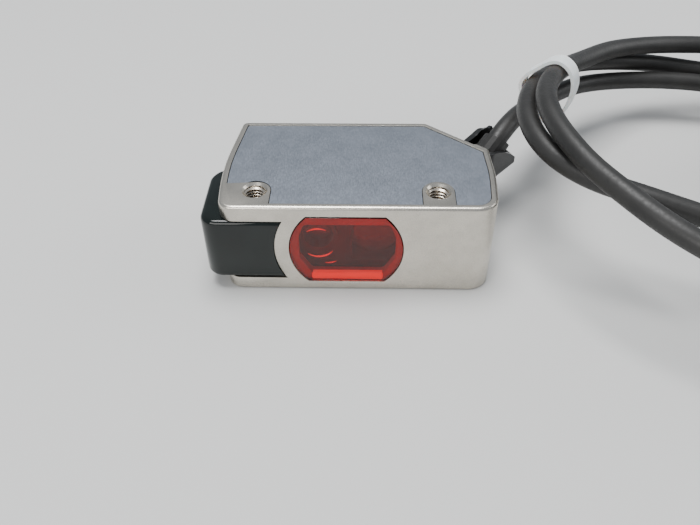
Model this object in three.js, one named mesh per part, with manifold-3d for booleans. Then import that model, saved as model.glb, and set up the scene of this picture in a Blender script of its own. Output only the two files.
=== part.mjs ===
// A compact laser photoelectric sensor in a stainless steel housing, lying on its side with its
// coiled cable. Millimetres, +Z up.
// Everything is laid out with X = 0 midway between the two mounting holes, Y = 0 at the lens face
// and Z = 0 under the lower side plate. The last lines shift the assembly so that its origin is on
// the floor under the middle of the sensor.
import * as THREE from 'three';
import { mergeVertices } from 'three/addons/utils/BufferGeometryUtils.js';
import Module from 'manifold-3d';

const wasm = await Module();
wasm.setup();

// ---------------------------------------------------------------- driving dimensions
const HEIGHT = 15;                 // across the two side plates
const DEPTH = 22;                  // lens face to display face
const HOLE_PITCH = 25.4;           // M3 mounting holes, through the housing along Z
const HOLE_Y = 4;
const HOLE_RADIUS = 1.5;
const HOLE_CHAMFER_RADIUS = 1.75;
const BOSS_RADIUS = 2.2;
const EDGE_BEVEL = 0.45;           // outer edges of the housing
const RIM = 0.95;                  // housing rim that shows around each side plate
const WALL = 1.6;
const FIT = 0.1;                   // assembly gap between neighbouring pieces
const GAP = 0.3;                   // the same where pieces meet at an angle
const PLATE = 0.55;                // side plate thickness
const PLATE_SINK = 0.1;            // side plates sit this far below the rim
const LEDGE = PLATE + PLATE_SINK + FIT;

const WINDOW_RADIUS = 8.1;         // round window with a flat above and below
const WINDOW_Z = 7.55;
const WINDOW_FLAT = 5.95;
const DOME_LOW = 2.2;              // indicator dome, wrapped round the front left edge
const DOME_HIGH = 12.6;
const DOME_FRONT = -0.15;
const DOME_LEFT = -20.35;
const DOME_BACK = 13.2;
const DOME_CLEARANCE_RADIUS = 10.1; // its hollow right edge runs round the window

const PANEL = { left: -12.2, right: 8.6, low: 2.4, high: 12.6 };  // opening in the display face
const BUTTON_TRAVEL = 0.4;
const BUTTON_PROUD = 0.35;

const CABLE = 3.15;                // cable diameter
const BARREL = { x: -3.95, radius: 2.6 };                         // laser emitter barrel

// Corners of the housing seen from above: x, y, corner radius. The two shallow corners with the
// large radius are the bulged left and right sides.
const BODY_CORNERS = [
  [-17.35, 0, 2.2],
  [-18.1, 9.5, 50],
  [-16.6, DEPTH, 0.9],
  [11.9, DEPTH, 1.2],
  [20.85, 14.45, 1.0],
  [21.2, 8.0, 40],
  [20.6, 0, 3.0],
];
const CHAMFER = {
  middle: new THREE.Vector2(16.35, 18.2),
  angle: Math.atan2(8.95, 7.55),   // direction that the cable leaves in, from +X
};

// The cable boot on the chamfer, in a frame with X along the chamfer and Y the way the cable leaves:
// an open scoop with a sloping rim, on a root block that holds the strain relief.
const EXIT = { x: 1.9, z: 7.6 };
const BOOT = { far: -1.85, near: 5.65, low: 7.0, high: 14.2, reach: 9.9, wall: 0.9, rounding: 1.1 };
const BOOT_KEEL = 1.6;             // rounding along the boot's lower edges
const BOOT_RIM = { far: 10.4, farRise: 0.1, near: 13.2, nearFall: 0.05 };
const BOOT_CREST = { x: 0.2, half: 1.0, height: 1.8, start: 7, full: 9.5 };   // on the outer wall
const BOOT_ROOT = { half: 3.1, front: 1.2, back: 3.4, low: 4.2 };

// ---------------------------------------------------------------- materials
function finish(color, roughness, metalness = 0, opacity = 1) {
  return new THREE.MeshStandardMaterial({ color, roughness, metalness, opacity, transparent: opacity < 1 });
}
const STEEL = finish(0xb9b3a8, 0.34, 1);
const PLATE_STEEL = finish(0x98a0a8, 0.38, 1);
const SCREW_STEEL = finish(0x8b8b88, 0.3, 1);
const BRASS = finish(0xb08d4a, 0.35, 1);
const RED_CLEAR = finish(0xb31208, 0.08, 0, 0.5);
const SMOKED = finish(0x0b1214, 0.08, 0, 0.9);
const MILKY = finish(0xd8ddd6, 0.4, 0, 0.7);
const BLACK = finish(0x151617, 0.45);
const SATIN_BLACK = finish(0x1d1f20, 0.6);
const RUBBER = finish(0x202122, 0.8);
const GREY_KEY = finish(0x8d9296, 0.5);
const BOARD = finish(0x1f5a35, 0.5);
const GLASS = finish(0xdfe8ea, 0.03, 0, 0.35);
const LED = finish(0xeef0d8, 0.3);
const JACKET = finish(0x34363a, 0.55);
const TIE = finish(0xe9ecec, 0.35);
const CORE_COLOURS = { brown: 0x5a3320, blue: 0x2d5fa8, black: 0x1a1a1a, white: 0xe6e4de };

// ---------------------------------------------------------------- solids
function signedVolume(positions, index) {
  const a = new THREE.Vector3();
  const b = new THREE.Vector3();
  const c = new THREE.Vector3();
  let total = 0;
  for (let i = 0; i < index.length; i += 3) {
    a.fromArray(positions, index[i] * 3);
    b.fromArray(positions, index[i + 1] * 3);
    c.fromArray(positions, index[i + 2] * 3);
    total += a.dot(b.cross(c)) / 6;
  }
  return total;
}

// A closed manifold with outward faces from any closed geometry.
function toManifold(geometry) {
  const bare = new THREE.BufferGeometry();
  bare.setAttribute('position', geometry.getAttribute('position'));
  if (geometry.index) bare.setIndex(geometry.index);
  const merged = mergeVertices(bare, 1e-4);
  const positions = new Float32Array(merged.getAttribute('position').array);
  const corners = [];
  const source = merged.index.array;
  for (let i = 0; i < source.length; i += 3) {
    const [a, b, c] = source.slice(i, i + 3);
    if (a !== b && b !== c && c !== a) corners.push(a, b, c);
  }
  if (signedVolume(positions, corners) < 0) corners.reverse();
  const mesh = new wasm.Mesh({ numProp: 3, vertProperties: positions, triVerts: new Uint32Array(corners) });
  return new wasm.Manifold(mesh);
}

function toGeometry(manifold) {
  const mesh = manifold.getMesh();
  const geometry = new THREE.BufferGeometry();
  geometry.setAttribute('position', new THREE.BufferAttribute(new Float32Array(mesh.vertProperties), 3));
  geometry.setIndex(new THREE.BufferAttribute(new Uint32Array(mesh.triVerts), 1));
  geometry.computeVertexNormals();
  return geometry;
}

const clean = (geometry) => toGeometry(toManifold(geometry));

function join(...pieces) {
  return toGeometry(pieces.map(toManifold).reduce((sum, piece) => sum.add(piece)));
}

function cut(base, ...tools) {
  return toGeometry(tools.map(toManifold).reduce((rest, tool) => rest.subtract(tool), toManifold(base)));
}

const keep = (base, tool) => toGeometry(toManifold(base).intersect(toManifold(tool)));

function block(x0, x1, y0, y1, z0, z1) {
  const geometry = new THREE.BoxGeometry(x1 - x0, y1 - y0, z1 - z0);
  return geometry.translate((x0 + x1) / 2, (y0 + y1) / 2, (z0 + z1) / 2);
}

// A prism that stands along Z.
function prism(shape, z0, z1) {
  const geometry = new THREE.ExtrudeGeometry(shape, { depth: z1 - z0, bevelEnabled: false, curveSegments: 12 });
  return geometry.translate(0, 0, z0);
}

// A prism drawn in the X-Z plane that runs along Y from y0 to y1.
function prismY(shape, y0, y1) {
  return prism(shape, 0, y1 - y0).rotateX(Math.PI / 2).translate(0, y1, 0);
}

// Numbers from one end of a range to the other in equal steps.
const evenly = (first, last, steps) => (
  Array.from({ length: steps + 1 }, (_, i) => first + (last - first) * i / steps)
);

// The points of an outline, anticlockwise, with no repeated last point.
function outlinePoints(shape) {
  const points = shape.getPoints(12);
  if (points[0].distanceTo(points[points.length - 1]) < 1e-6) points.pop();
  return THREE.ShapeUtils.isClockWise(points) ? points.reverse() : points;
}

// A closed skin through rings of points, each at its own z, with flat ends.
function loft(rings) {
  const count = rings[0].points.length;
  const positions = rings.flatMap(({ points, z }) => points.flatMap((point) => [point.x, point.y, z]));
  const index = [];
  for (let ring = 0; ring + 1 < rings.length; ring += 1) {
    for (let i = 0; i < count; i += 1) {
      const a = ring * count + i;
      const b = ring * count + (i + 1) % count;
      index.push(a, b, b + count, a, b + count, a + count);
    }
  }
  const last = (rings.length - 1) * count;
  for (const [a, b, c] of THREE.ShapeUtils.triangulateShape(rings[0].points, [])) index.push(a, c, b);
  for (const [a, b, c] of THREE.ShapeUtils.triangulateShape(rings[rings.length - 1].points, [])) {
    index.push(last + a, last + b, last + c);
  }
  const geometry = new THREE.BufferGeometry();
  geometry.setAttribute('position', new THREE.Float32BufferAttribute(positions, 3));
  geometry.setIndex(index);
  return geometry;
}

// A prism along Z whose two ends are rounded over: shapeAt(d) is its outline moved inwards by d.
function eased(shapeAt, z0, z1, radius) {
  const steps = [[1, 0], [0.3, 0.3], [0, 1]];
  const ring = (inwards, z) => ({ points: outlinePoints(shapeAt(inwards * radius)), z });
  return loft([
    ...steps.map(([inwards, rise]) => ring(inwards, z0 + rise * radius)),
    ...steps.toReversed().map(([inwards, rise]) => ring(inwards, z1 - rise * radius)),
  ]);
}

function easedY(shapeAt, y0, y1, radius) {
  return eased(shapeAt, 0, y1 - y0, radius).rotateX(Math.PI / 2).translate(0, y1, 0);
}

function rod(x, y, z0, z1, radius, sides = 24) {
  const geometry = new THREE.CylinderGeometry(radius, radius, z1 - z0, sides);
  return geometry.rotateX(Math.PI / 2).translate(x, y, (z0 + z1) / 2);
}

function rodY(x, z, y0, y1, radius, sides = 24) {
  return new THREE.CylinderGeometry(radius, radius, y1 - y0, sides).translate(x, (y0 + y1) / 2, z);
}

function coneZ(x, y, z0, z1, radius0, radius1, sides = 24) {
  const geometry = new THREE.CylinderGeometry(radius1, radius0, z1 - z0, sides);
  return geometry.rotateX(Math.PI / 2).translate(x, y, (z0 + z1) / 2);
}

// A turned piece about Y: profile points are [radius, y], and the profile closes on itself.
function turnedY(profile, x, z, sides = 28) {
  const points = profile.map(([radius, y]) => new THREE.Vector2(radius, y));
  const onAxis = profile[0][0] === 0;
  if (!onAxis) points.push(points[0].clone());
  return clean(new THREE.LatheGeometry(points, sides)).translate(x, 0, z);
}

function roundRect(x0, x1, y0, y1, radius) {
  return filleted([[x0, y0, radius], [x1, y0, radius], [x1, y1, radius], [x0, y1, radius]]);
}

// A shape through the given corners, each rounded with its own radius.
function filleted(corners, segments = 5) {
  const shape = new THREE.Shape();
  const count = corners.length;
  const points = [];
  corners.forEach(([x, y, radius], i) => {
    const here = new THREE.Vector2(x, y);
    const before = new THREE.Vector2(...corners[(i + count - 1) % count]).sub(here).normalize();
    const after = new THREE.Vector2(...corners[(i + 1) % count]).sub(here).normalize();
    const half = Math.acos(THREE.MathUtils.clamp(before.dot(after), -1, 1)) / 2;
    const reach = radius / Math.tan(half);
    const start = here.clone().addScaledVector(before, reach);
    const end = here.clone().addScaledVector(after, reach);
    const middle = before.clone().add(after).normalize().multiplyScalar(radius / Math.sin(half)).add(here);
    const from = start.clone().sub(middle).angle();
    let turn = end.clone().sub(middle).angle() - from;
    if (turn > Math.PI) turn -= 2 * Math.PI;
    if (turn < -Math.PI) turn += 2 * Math.PI;
    for (let k = 0; k <= segments; k += 1) {
      const angle = from + turn * k / segments;
      points.push(new THREE.Vector2(middle.x + radius * Math.cos(angle), middle.y + radius * Math.sin(angle)));
    }
  });
  return shape.setFromPoints(points);
}

// The same corners moved inwards by a distance, with the radii reduced to match.
function inset(corners, distance) {
  const count = corners.length;
  const centre = new THREE.Vector2(1, DEPTH / 2);
  const lines = corners.map(([x, y], i) => {
    const start = new THREE.Vector2(x, y);
    const along = new THREE.Vector2(...corners[(i + 1) % count]).sub(start).normalize();
    const normal = new THREE.Vector2(-along.y, along.x);
    if (normal.dot(centre.clone().sub(start)) < 0) normal.negate();
    return { point: start.addScaledVector(normal, distance), along };
  });
  return lines.map((line, i) => {
    const other = lines[(i + count - 1) % count];
    const cross = other.along.cross(line.along);
    const reach = line.point.clone().sub(other.point).cross(line.along) / cross;
    const corner = other.point.clone().addScaledVector(other.along, reach);
    return [corner.x, corner.y, Math.max(corners[i][2] - distance, 0.35)];
  });
}

const bodyOutline = (distance) => filleted(inset(BODY_CORNERS, distance));

// Moves a piece built along +X into the chamfered corner, pointing the way the cable leaves.
function atChamfer(geometry) {
  return geometry.rotateZ(CHAMFER.angle - Math.PI / 2).translate(CHAMFER.middle.x, CHAMFER.middle.y, 0);
}

const sensor = new THREE.Group();

function add(name, geometry, material) {
  const mesh = new THREE.Mesh(geometry, material);
  mesh.name = name;
  sensor.add(mesh);
  return mesh;
}


// ---------------------------------------------------------------- housing
const holes = [-HOLE_PITCH / 2, HOLE_PITCH / 2];

// The boss round a mounting hole, grown by a clearance: the side plates have the same shape cut out.
function bossProfile(x, clearance) {
  const reach = BOSS_RADIUS + clearance;
  const low = -2;
  const side = x < 0 ? -5 : -reach;
  const back = x < 0 ? HOLE_Y + 1.5 + clearance : HOLE_Y;
  return join(
    rod(x, HOLE_Y, -1, HEIGHT + 1, reach, 32),
    block(x + side, x + reach, low, HOLE_Y, -1, HEIGHT + 1),
    block(x + side, x, low, back, -1, HEIGHT + 1),
  );
}

function windowShape(distance) {
  const radius = WINDOW_RADIUS - distance;
  const flat = WINDOW_FLAT - distance;
  const lean = Math.asin(flat / radius);
  const shape = new THREE.Shape();
  shape.absarc(0, WINDOW_Z, radius, -lean, lean, false);
  shape.absarc(0, WINDOW_Z, radius, Math.PI - lean, Math.PI + lean, false);
  shape.closePath();
  return shape;
}

// Everything inside the two walls that the indicator dome replaces.
function domeOpening(clearance) {
  const low = DOME_LOW - clearance;
  const high = DOME_HIGH + clearance;
  const around = rodY(0, WINDOW_Z, -3, 5, DOME_CLEARANCE_RADIUS - clearance, 48);
  const front = cut(block(-22, -8, -2, WALL + 0.05, low, high), around);
  return join(front, block(-22, -15.6, -2, DOME_BACK + clearance, low, high));
}

function makeHousing() {
  const outside = eased(bodyOutline, 0, HEIGHT, EDGE_BEVEL);
  const cavity = prism(bodyOutline(WALL), -1, HEIGHT + 1);
  const lowerRecess = prism(bodyOutline(RIM), -1, LEDGE);
  const upperRecess = prism(bodyOutline(RIM), HEIGHT - LEDGE, HEIGHT + 1);
  const inside = keep(outside, prism(bodyOutline(RIM - 0.2), -1, HEIGHT + 1));
  const bosses = join(...holes.map((x) => keep(inside, bossProfile(x, 0))));
  const walls = cut(outside, cavity, lowerRecess, upperRecess);
  const pad = atChamfer(block(2.7, 5.6, -0.8, 0.9, 1.2, HEIGHT - 0.5));
  const cableHole = atChamfer(block(EXIT.x - 2.6, EXIT.x + 2.6, -4, 3, 4.6, 10.6));
  const rearOpening = block(PANEL.left, PANEL.right, DEPTH - 4, DEPTH + 1, PANEL.low, PANEL.high);
  const bores = holes.flatMap((x) => [
    rod(x, HOLE_Y, -1, HEIGHT + 1, HOLE_RADIUS),
    coneZ(x, HOLE_Y, -0.01, 0.25, HOLE_CHAMFER_RADIUS, HOLE_RADIUS),
    coneZ(x, HOLE_Y, HEIGHT - 0.25, HEIGHT + 0.01, HOLE_RADIUS, HOLE_CHAMFER_RADIUS),
  ]);
  const window = prismY(windowShape(0), -1, 3);
  const shell = cut(join(walls, pad), prism(bodyOutline(WALL), LEDGE, HEIGHT - LEDGE));
  const opened = cut(shell, window, domeOpening(0), cableHole, rearOpening);
  return cut(join(opened, keep(bosses, bossLimits())), ...bores);
}

// The bosses stop short of the dome, which passes in front of the left one.
function bossLimits() {
  return cut(block(-30, 30, -1, DEPTH, 0, HEIGHT), domeOpening(0), rodY(0, WINDOW_Z, -2, 9, 9.2, 40));
}

add('housing', makeHousing(), STEEL);

function makeSidePlate() {
  const sheet = prism(bodyOutline(RIM + FIT), 0, PLATE);
  return cut(sheet, ...holes.map((x) => bossProfile(x, FIT)));
}
add('upper_side_plate', makeSidePlate().translate(0, 0, HEIGHT - PLATE - PLATE_SINK), PLATE_STEEL);
add('lower_side_plate', makeSidePlate().translate(0, 0, PLATE_SINK), PLATE_STEEL);

// ---------------------------------------------------------------- lens cover
const LENS_FLANGE = 0.8;
const FLANGE_GROWTH = 0.6;

function makeLensCover() {
  const nose = easedY((distance) => windowShape(FIT + distance), -0.1, WALL + 0.2, 0.15);
  const flange = prismY(windowShape(-FLANGE_GROWTH), WALL + FIT, WALL + FIT + LENS_FLANGE);
  const pocket = prismY(windowShape(1.7), 0.9, WALL + FIT + LENS_FLANGE + 1);
  return cut(join(nose, flange), pocket);
}

add('lens_cover', makeLensCover(), RED_CLEAR);

const SEAL_BACK = WALL + FIT + LENS_FLANGE + 0.6;
const lensSeal = cut(
  prismY(windowShape(-FLANGE_GROWTH + 0.2), WALL + LENS_FLANGE + 2 * FIT, SEAL_BACK),
  prismY(windowShape(1.0), 0, 4),
);
add('lens_cover_seal', lensSeal, RUBBER);

// ---------------------------------------------------------------- indicator
function domeShape(distance) {
  const front = DOME_FRONT + distance;
  const left = DOME_LEFT + distance;
  const back = DOME_BACK - FIT - distance;
  return filleted([
    [-8.4, front, 0.1],
    [left, front, 2.4 - distance],
    [left, back, 3.2 - distance],
    [-16.0, back, 0.1],
    [-16.0, WALL - FIT, 0.1],
    [-8.4, WALL - FIT, 0.1],
  ]);
}

function makeDome() {
  const body = eased(domeShape, DOME_LOW + FIT, DOME_HIGH - FIT, 0.55);
  const around = rodY(0, WINDOW_Z, -3, 5, DOME_CLEARANCE_RADIUS + FIT, 48);
  const hollow = prism(filleted([
    [-19.2, 1.0, 1.4],
    [-19.2, DOME_BACK - 1.5, 1.6],
    [-15, DOME_BACK - 1.4, 0.2],
    [-15, 1.0, 0.2],
  ]), DOME_LOW + 1.2, DOME_HIGH - 1.2);
  return cut(body, around, hollow);
}
add('indicator_dome', makeDome(), SMOKED);

const GUIDE_LOW = DOME_LOW + 2;
const GUIDE_HIGH = DOME_HIGH - 2;
const guide = prism(filleted([
  [-18.9, 6.2, 0.3],
  [-18.9, DOME_BACK - 2.2, 0.8],
  [-17.2, DOME_BACK - 2.2, 0.2],
  [-17.2, 6.2, 0.2],
]), GUIDE_LOW, GUIDE_HIGH);
add('indicator_light_guide', guide, MILKY);
add('indicator_board', block(-15.5, -14.7, 6.6, 13.0, 2.6, 12.2), BOARD);
for (const [name, z] of [['upper', 9.6], ['lower', 5.4]]) {
  add(`indicator_led_${name}`, block(-16.8, -15.6, 8.2, 10.2, z - 0.8, z + 0.8), LED);
}

// ---------------------------------------------------------------- display and buttons
const PANEL_BACK = DEPTH - 2.4;
const KEY_Z = WINDOW_Z;
const keys = [
  { name: 'set_button', x: -8.6, width: 4.2, height: 4.6 },
  { name: 'up_button', x: -3.4, width: 3.2, height: 4.6 },
  { name: 'down_button', x: 1.0, width: 3.2, height: 4.6 },
];
const DISPLAY = { left: 3.6, right: 7.6, low: 3.6, high: 11.4 };

const keyShape = (key, growth) => roundRect(
  key.x - key.width / 2 - growth,
  key.x + key.width / 2 + growth,
  KEY_Z - key.height / 2 - growth,
  KEY_Z + key.height / 2 + growth,
  0.9,
);
const displayShape = (growth) => roundRect(
  DISPLAY.left - growth,
  DISPLAY.right + growth,
  DISPLAY.low - growth,
  DISPLAY.high + growth,
  0.5,
);

function makePanel() {
  const face = roundRect(PANEL.left + FIT, PANEL.right - FIT, PANEL.low + FIT, PANEL.high - FIT, 0.4);
  const flange = roundRect(PANEL.left - 0.8, PANEL.right + 0.8, PANEL.low - 0.8, PANEL.high + 0.8, 0.4);
  const plate = join(
    prismY(face, PANEL_BACK + 0.4, DEPTH - 0.1),
    prismY(flange, PANEL_BACK, DEPTH - WALL - FIT),
  );
  const keyHoles = keys.map((key) => prismY(keyShape(key, 0.12), PANEL_BACK - 1, DEPTH + 1));
  const displayHole = prismY(displayShape(0), PANEL_BACK - 1, DEPTH + 1);
  return cut(plate, ...keyHoles, displayHole);
}
add('display_panel', makePanel(), BLACK);
add('display_window', prismY(displayShape(-FIT), DEPTH - 1.3, DEPTH - 0.15), GLASS);
add('display_module', block(3.9, 7.3, PANEL_BACK - 0.9, DEPTH - 1.6, 4, 11), BLACK);

// A cap with a stem behind it, free to move inwards through the panel.
function makeButton(key) {
  const cap = easedY((distance) => keyShape(key, -distance), PANEL_BACK + 0.3, DEPTH + BUTTON_PROUD, 0.15);
  return join(cap, rodY(key.x, KEY_Z, PANEL_BACK - 0.5, PANEL_BACK + 0.5, 0.7, 16));
}
for (const key of keys) {
  add(key.name, makeButton(key), GREY_KEY);
}

const KEYPAD_BACK = PANEL_BACK - 1.6;
for (const key of keys) {
  const name = key.name.replace('button', 'switch');
  const y = PANEL_BACK - 0.5 - BUTTON_TRAVEL - GAP;
  add(name, join(
    block(key.x - 1.3, key.x + 1.3, KEYPAD_BACK + 0.05, y - 0.3, KEY_Z - 1.3, KEY_Z + 1.3),
    rodY(key.x, KEY_Z, y - 0.4, y, 0.6, 16),
  ), SATIN_BLACK);
}
add('display_board', block(-11.6, 8.0, KEYPAD_BACK - 0.9, KEYPAD_BACK - 0.05, 3, 12), BOARD);

// ---------------------------------------------------------------- optics
const OPTICS_FRONT = SEAL_BACK + FIT;
function makeOpticalFrame() {
  const frame = block(-7.6, 7.6, OPTICS_FRONT + 0.4, 10.5, 1.9, 13.2);
  const barrelBore = rodY(BARREL.x, WINDOW_Z, 0, 12, BARREL.radius + 0.1);
  const chamber = block(0.6, 6.8, 0, 9.4, 3.2, 11.9);
  return cut(frame, barrelBore, chamber);
}
add('optical_frame', makeOpticalFrame(), SATIN_BLACK);

const barrel = turnedY([
  [BARREL.radius, OPTICS_FRONT + 0.2],
  [BARREL.radius, 8.6],
  [1.2, 8.6],
  [1.2, 7.9],
  [2.1, 7.9],
  [2.1, OPTICS_FRONT + 0.2],
], BARREL.x, WINDOW_Z);
add('emitter_barrel', barrel, SATIN_BLACK);

function lens(radius, y0, edge, crown) {
  const profile = [[0, y0 + edge], [radius, y0 + edge], [radius, y0]];
  for (let i = 1; i <= 5; i += 1) {
    const angle = (i / 5) * Math.PI / 2;
    profile.push([radius * Math.cos(angle), y0 - crown * Math.sin(angle)]);
  }
  profile[profile.length - 1][0] = 0;
  return profile;
}
add('emitter_lens', turnedY(lens(1.95, 5.0, 0.9, 0.8), BARREL.x, WINDOW_Z), GLASS);
add('laser_diode', turnedY([[0, 9.0], [1.5, 9.0], [1.5, 9.6], [1.0, 9.6], [1.0, 10.4], [0, 10.4]], BARREL.x, WINDOW_Z), BRASS);
const receiverLens = cut(
  turnedY(lens(4.2, 5.2, 1.2, 1.4), 3.7, WINDOW_Z, 36),
  block(-2, 0.8, 0, 12, 0, 15),
  block(6.6, 12, 0, 12, 0, 15),
);
add('receiver_lens', receiverLens, GLASS);
add('receiver_chip', block(2.2, 5.2, 8.2, 9.2, 6.2, 8.9), BLACK);
add('light_baffle', block(-1.0, -0.2, OPTICS_FRONT + 0.05, OPTICS_FRONT + 0.35, 2.6, 12.6), SATIN_BLACK);
add('emitter_board', block(-7.4, -0.6, 10.8, 11.6, 2.4, 12.8), BOARD);
add('receiver_board', block(0.4, 7.4, 10.8, 11.6, 2.4, 12.8), BOARD);

// ---------------------------------------------------------------- electronics
add('main_board', block(-14.6, 8.2, 12.2, 13.0, 1.4, 13.4), BOARD);
add('signal_processor', block(-6.0, -1.0, 13.1, 14.1, 5.0, 10.0), BLACK);
const shieldCan = cut(block(0.4, 7.4, 13.1, 15.2, 3.4, 11.4), block(0.7, 7.1, 13.0, 14.9, 3.7, 11.1));
add('shield_can', shieldCan, SCREW_STEEL);

// ---------------------------------------------------------------- cable exit
// Built along +Y from the chamfer face, then turned into the corner.

function circleSection(radius, sides) {
  const section = new THREE.Shape();
  section.moveTo(radius, 0);
  for (let i = 1; i < sides; i += 1) {
    const angle = 2 * Math.PI * i / sides;
    section.lineTo(radius * Math.cos(angle), radius * Math.sin(angle));
  }
  section.closePath();
  return section;
}

const bootShape = (distance) => roundRect(
  BOOT.far + distance,
  BOOT.near - distance,
  BOOT_ROOT.front + distance,
  BOOT.reach - distance,
  BOOT.rounding - distance,
);

const bootSection = (distance) => roundRect(
  BOOT.far + distance,
  BOOT.near - distance,
  BOOT.low + distance,
  BOOT.high + 5,
  BOOT_KEEL - distance,
);

// The scoop's space, moved inwards by a distance.
function bootBlock(distance) {
  const upright = prism(bootShape(distance), BOOT.low + distance, BOOT.high + 1);
  return keep(upright, prismY(bootSection(distance), 0, BOOT.reach + 1));
}

// Height of the boot's rim: flat on the far side, falling outwards on the near side, and with a
// crest on the outer wall beside the cable.
function rimHeight(x, along) {
  const across = THREE.MathUtils.clamp((x - BOOT.far) / (BOOT.near - BOOT.far), 0, 1);
  const far = BOOT_RIM.far + BOOT_RIM.farRise * along;
  const near = BOOT_RIM.near - BOOT_RIM.nearFall * along ** 2;
  const outward = THREE.MathUtils.smoothstep(along, BOOT_CREST.start, BOOT_CREST.full);
  const crest = BOOT_CREST.height * Math.exp(-(((x - BOOT_CREST.x) / BOOT_CREST.half) ** 2));
  return THREE.MathUtils.lerp(far, near, across) + crest * outward;
}

// Everything above that rim.
function aboveRim() {
  const rings = evenly(BOOT.far - 0.5, BOOT.near + 0.5, 16).map((x) => {
    const rim = evenly(0, 12, 16).map((along) => new THREE.Vector2(along, rimHeight(x, along)));
    return { points: [...rim, new THREE.Vector2(12, 20), new THREE.Vector2(0, 20)], z: x };
  });
  const axes = [new THREE.Vector3(0, 1, 0), new THREE.Vector3(0, 0, 1), new THREE.Vector3(1, 0, 0)];
  return loft(rings).applyMatrix4(new THREE.Matrix4().makeBasis(...axes));
}

// A round sleeve whose middle line and radius change along its length.
const RELIEF = [
  { x: EXIT.x, along: 0.2, z: EXIT.z, radius: 2.0 },
  { x: 1.95, along: 2.2, z: 7.9, radius: 2.0 },
  { x: 2.15, along: 4.4, z: 9.0, radius: 2.15 },
  { x: 2.45, along: 6.2, z: 10.4, radius: 2.2 },
  { x: 2.75, along: 7.7, z: 11.8, radius: 2.1 },
];
const RELIEF_SIDES = 16;

function reliefSleeve(growth) {
  const section = ({ radius }) => circleSection(radius + growth, RELIEF_SIDES).getPoints().slice(0, RELIEF_SIDES);
  const sleeve = loft(RELIEF.map((ring) => ({ points: section(ring), z: ring.along })));
  const places = RELIEF.flatMap((ring, i) => {
    const before = RELIEF[Math.max(i - 1, 0)];
    const after = RELIEF[Math.min(i + 1, RELIEF.length - 1)];
    const slope = Math.atan2(after.z - before.z, after.along - before.along);
    return section(ring).flatMap(({ x, y }) => [
      ring.x + x,
      ring.along - y * Math.sin(slope),
      ring.z + y * Math.cos(slope),
    ]);
  });
  sleeve.setAttribute('position', new THREE.Float32BufferAttribute(places, 3));
  return clean(sleeve);
}

function makeBoot() {
  const scoop = cut(bootBlock(0), bootBlock(BOOT.wall));
  const root = block(
    EXIT.x - BOOT_ROOT.half,
    EXIT.x + BOOT_ROOT.half,
    BOOT_ROOT.front,
    BOOT_ROOT.back,
    BOOT_ROOT.low,
    BOOT.high,
  );
  return atChamfer(cut(join(scoop, root), aboveRim(), reliefSleeve(GAP)));
}
add('cable_boot', makeBoot(), BLACK);
add('strain_relief', atChamfer(reliefSleeve(0)), RUBBER);

function tube(points, radius, sides, steps) {
  const path = new THREE.CatmullRomCurve3(points);
  return new THREE.ExtrudeGeometry(circleSection(radius, sides), { steps, extrudePath: path, bevelEnabled: false });
}

// ---------------------------------------------------------------- cable
// The cable rises from the strain relief, runs twice round in big loose loops that a tie holds at
// their left end, and comes down onto the neat coil that takes up most of its length. It ends
// beside that coil in four bare cores.
const toVectors = (points) => points.map((point) => new THREE.Vector3(...point));
const cordNames = [];

function addCord(name, geometry, material) {
  cordNames.push(name);
  return add(name, geometry, material);
}

const ROUTE = [
  [24.0, 23.3, 12.35],
  [25.2, 24.9, 12.9],
  [27.2, 28.0, 12.8],
  [30.0, 32.4, 11.8],
  [34.4, 38.4, 10.4],
  [41.6, 45.2, 9.2],
  [53.0, 49.0, 8.2],
  [65.0, 49.0, 7.7],
  [77.0, 46.6, 6.6],
  [89.0, 43.2, 4.6],
  [100.4, 37.2, 2.7],
  [108.2, 27.9, 1.8],
  [110.6, 17.0, 1.6],
  [108.5, 5.4, 2.0],
  [102.2, -4.2, 3.4],
  [92.5, -9.8, 5.6],
  [81.5, -11.2, 8.6],
  [69.0, -8.6, 11.6],
  [58.0, -4.6, 13.3],
  [47.2, -0.2, 14.4],
  [40.0, 2.8, 15.4],
  [34.0, 5.6, 16.0],
  [29.5, 9.3, 16.9],
  [27.3, 13.8, 17.6],
  [26.7, 18.2, 18.0],
  [27.2, 22.6, 18.0],
  [28.6, 27.0, 17.8],
  [30.8, 32.0, 16.9],
  [34.2, 37.8, 15.6],
  [39.6, 43.6, 14.2],
  [47.2, 48.8, 12.1],
  [57.0, 52.6, 9.8],
  [66.1, 53.0, 8.3],
  [78.0, 52.0, 7.2],
  [90.5, 48.4, 5.4],
  [102.8, 41.2, 3.2],
  [111.8, 30.0, 1.9],
  [114.3, 17.0, 1.6],
  [111.9, 3.6, 1.9],
  [104.0, -7.2, 3.6],
  [93.5, -15.0, 6.4],
  [80.0, -18.6, 9.7],
  [66.0, -18.5, 12.8],
  [54.0, -15.4, 15.0],
  [44.2, -9.8, 16.8],
  [38.9, -5.0, 18.0],
  [35.8, -0.8, 18.7],
  [33.0, 3.6, 19.2],
  [30.7, 8.6, 20.0],
  [29.2, 14.0, 20.6],
  [29.0, 19.2, 20.9],
  [30.3, 24.4, 20.6],
  [32.6, 29.2, 19.8],
  [35.4, 34.2, 18.4],
  [39.6, 39.8, 16.8],
  [45.6, 45.6, 15.8],
  [54.4, 51.0, 14.2],
  [65.8, 54.0, 12.9],
  [77.6, 52.8, 12.7],
  [89.0, 47.0, 12.4],
  [97.0, 40.0, 12.2],
];
addCord('cable_lead', tube(toVectors(ROUTE), CABLE / 2, 8, 80), JACKET);

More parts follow.
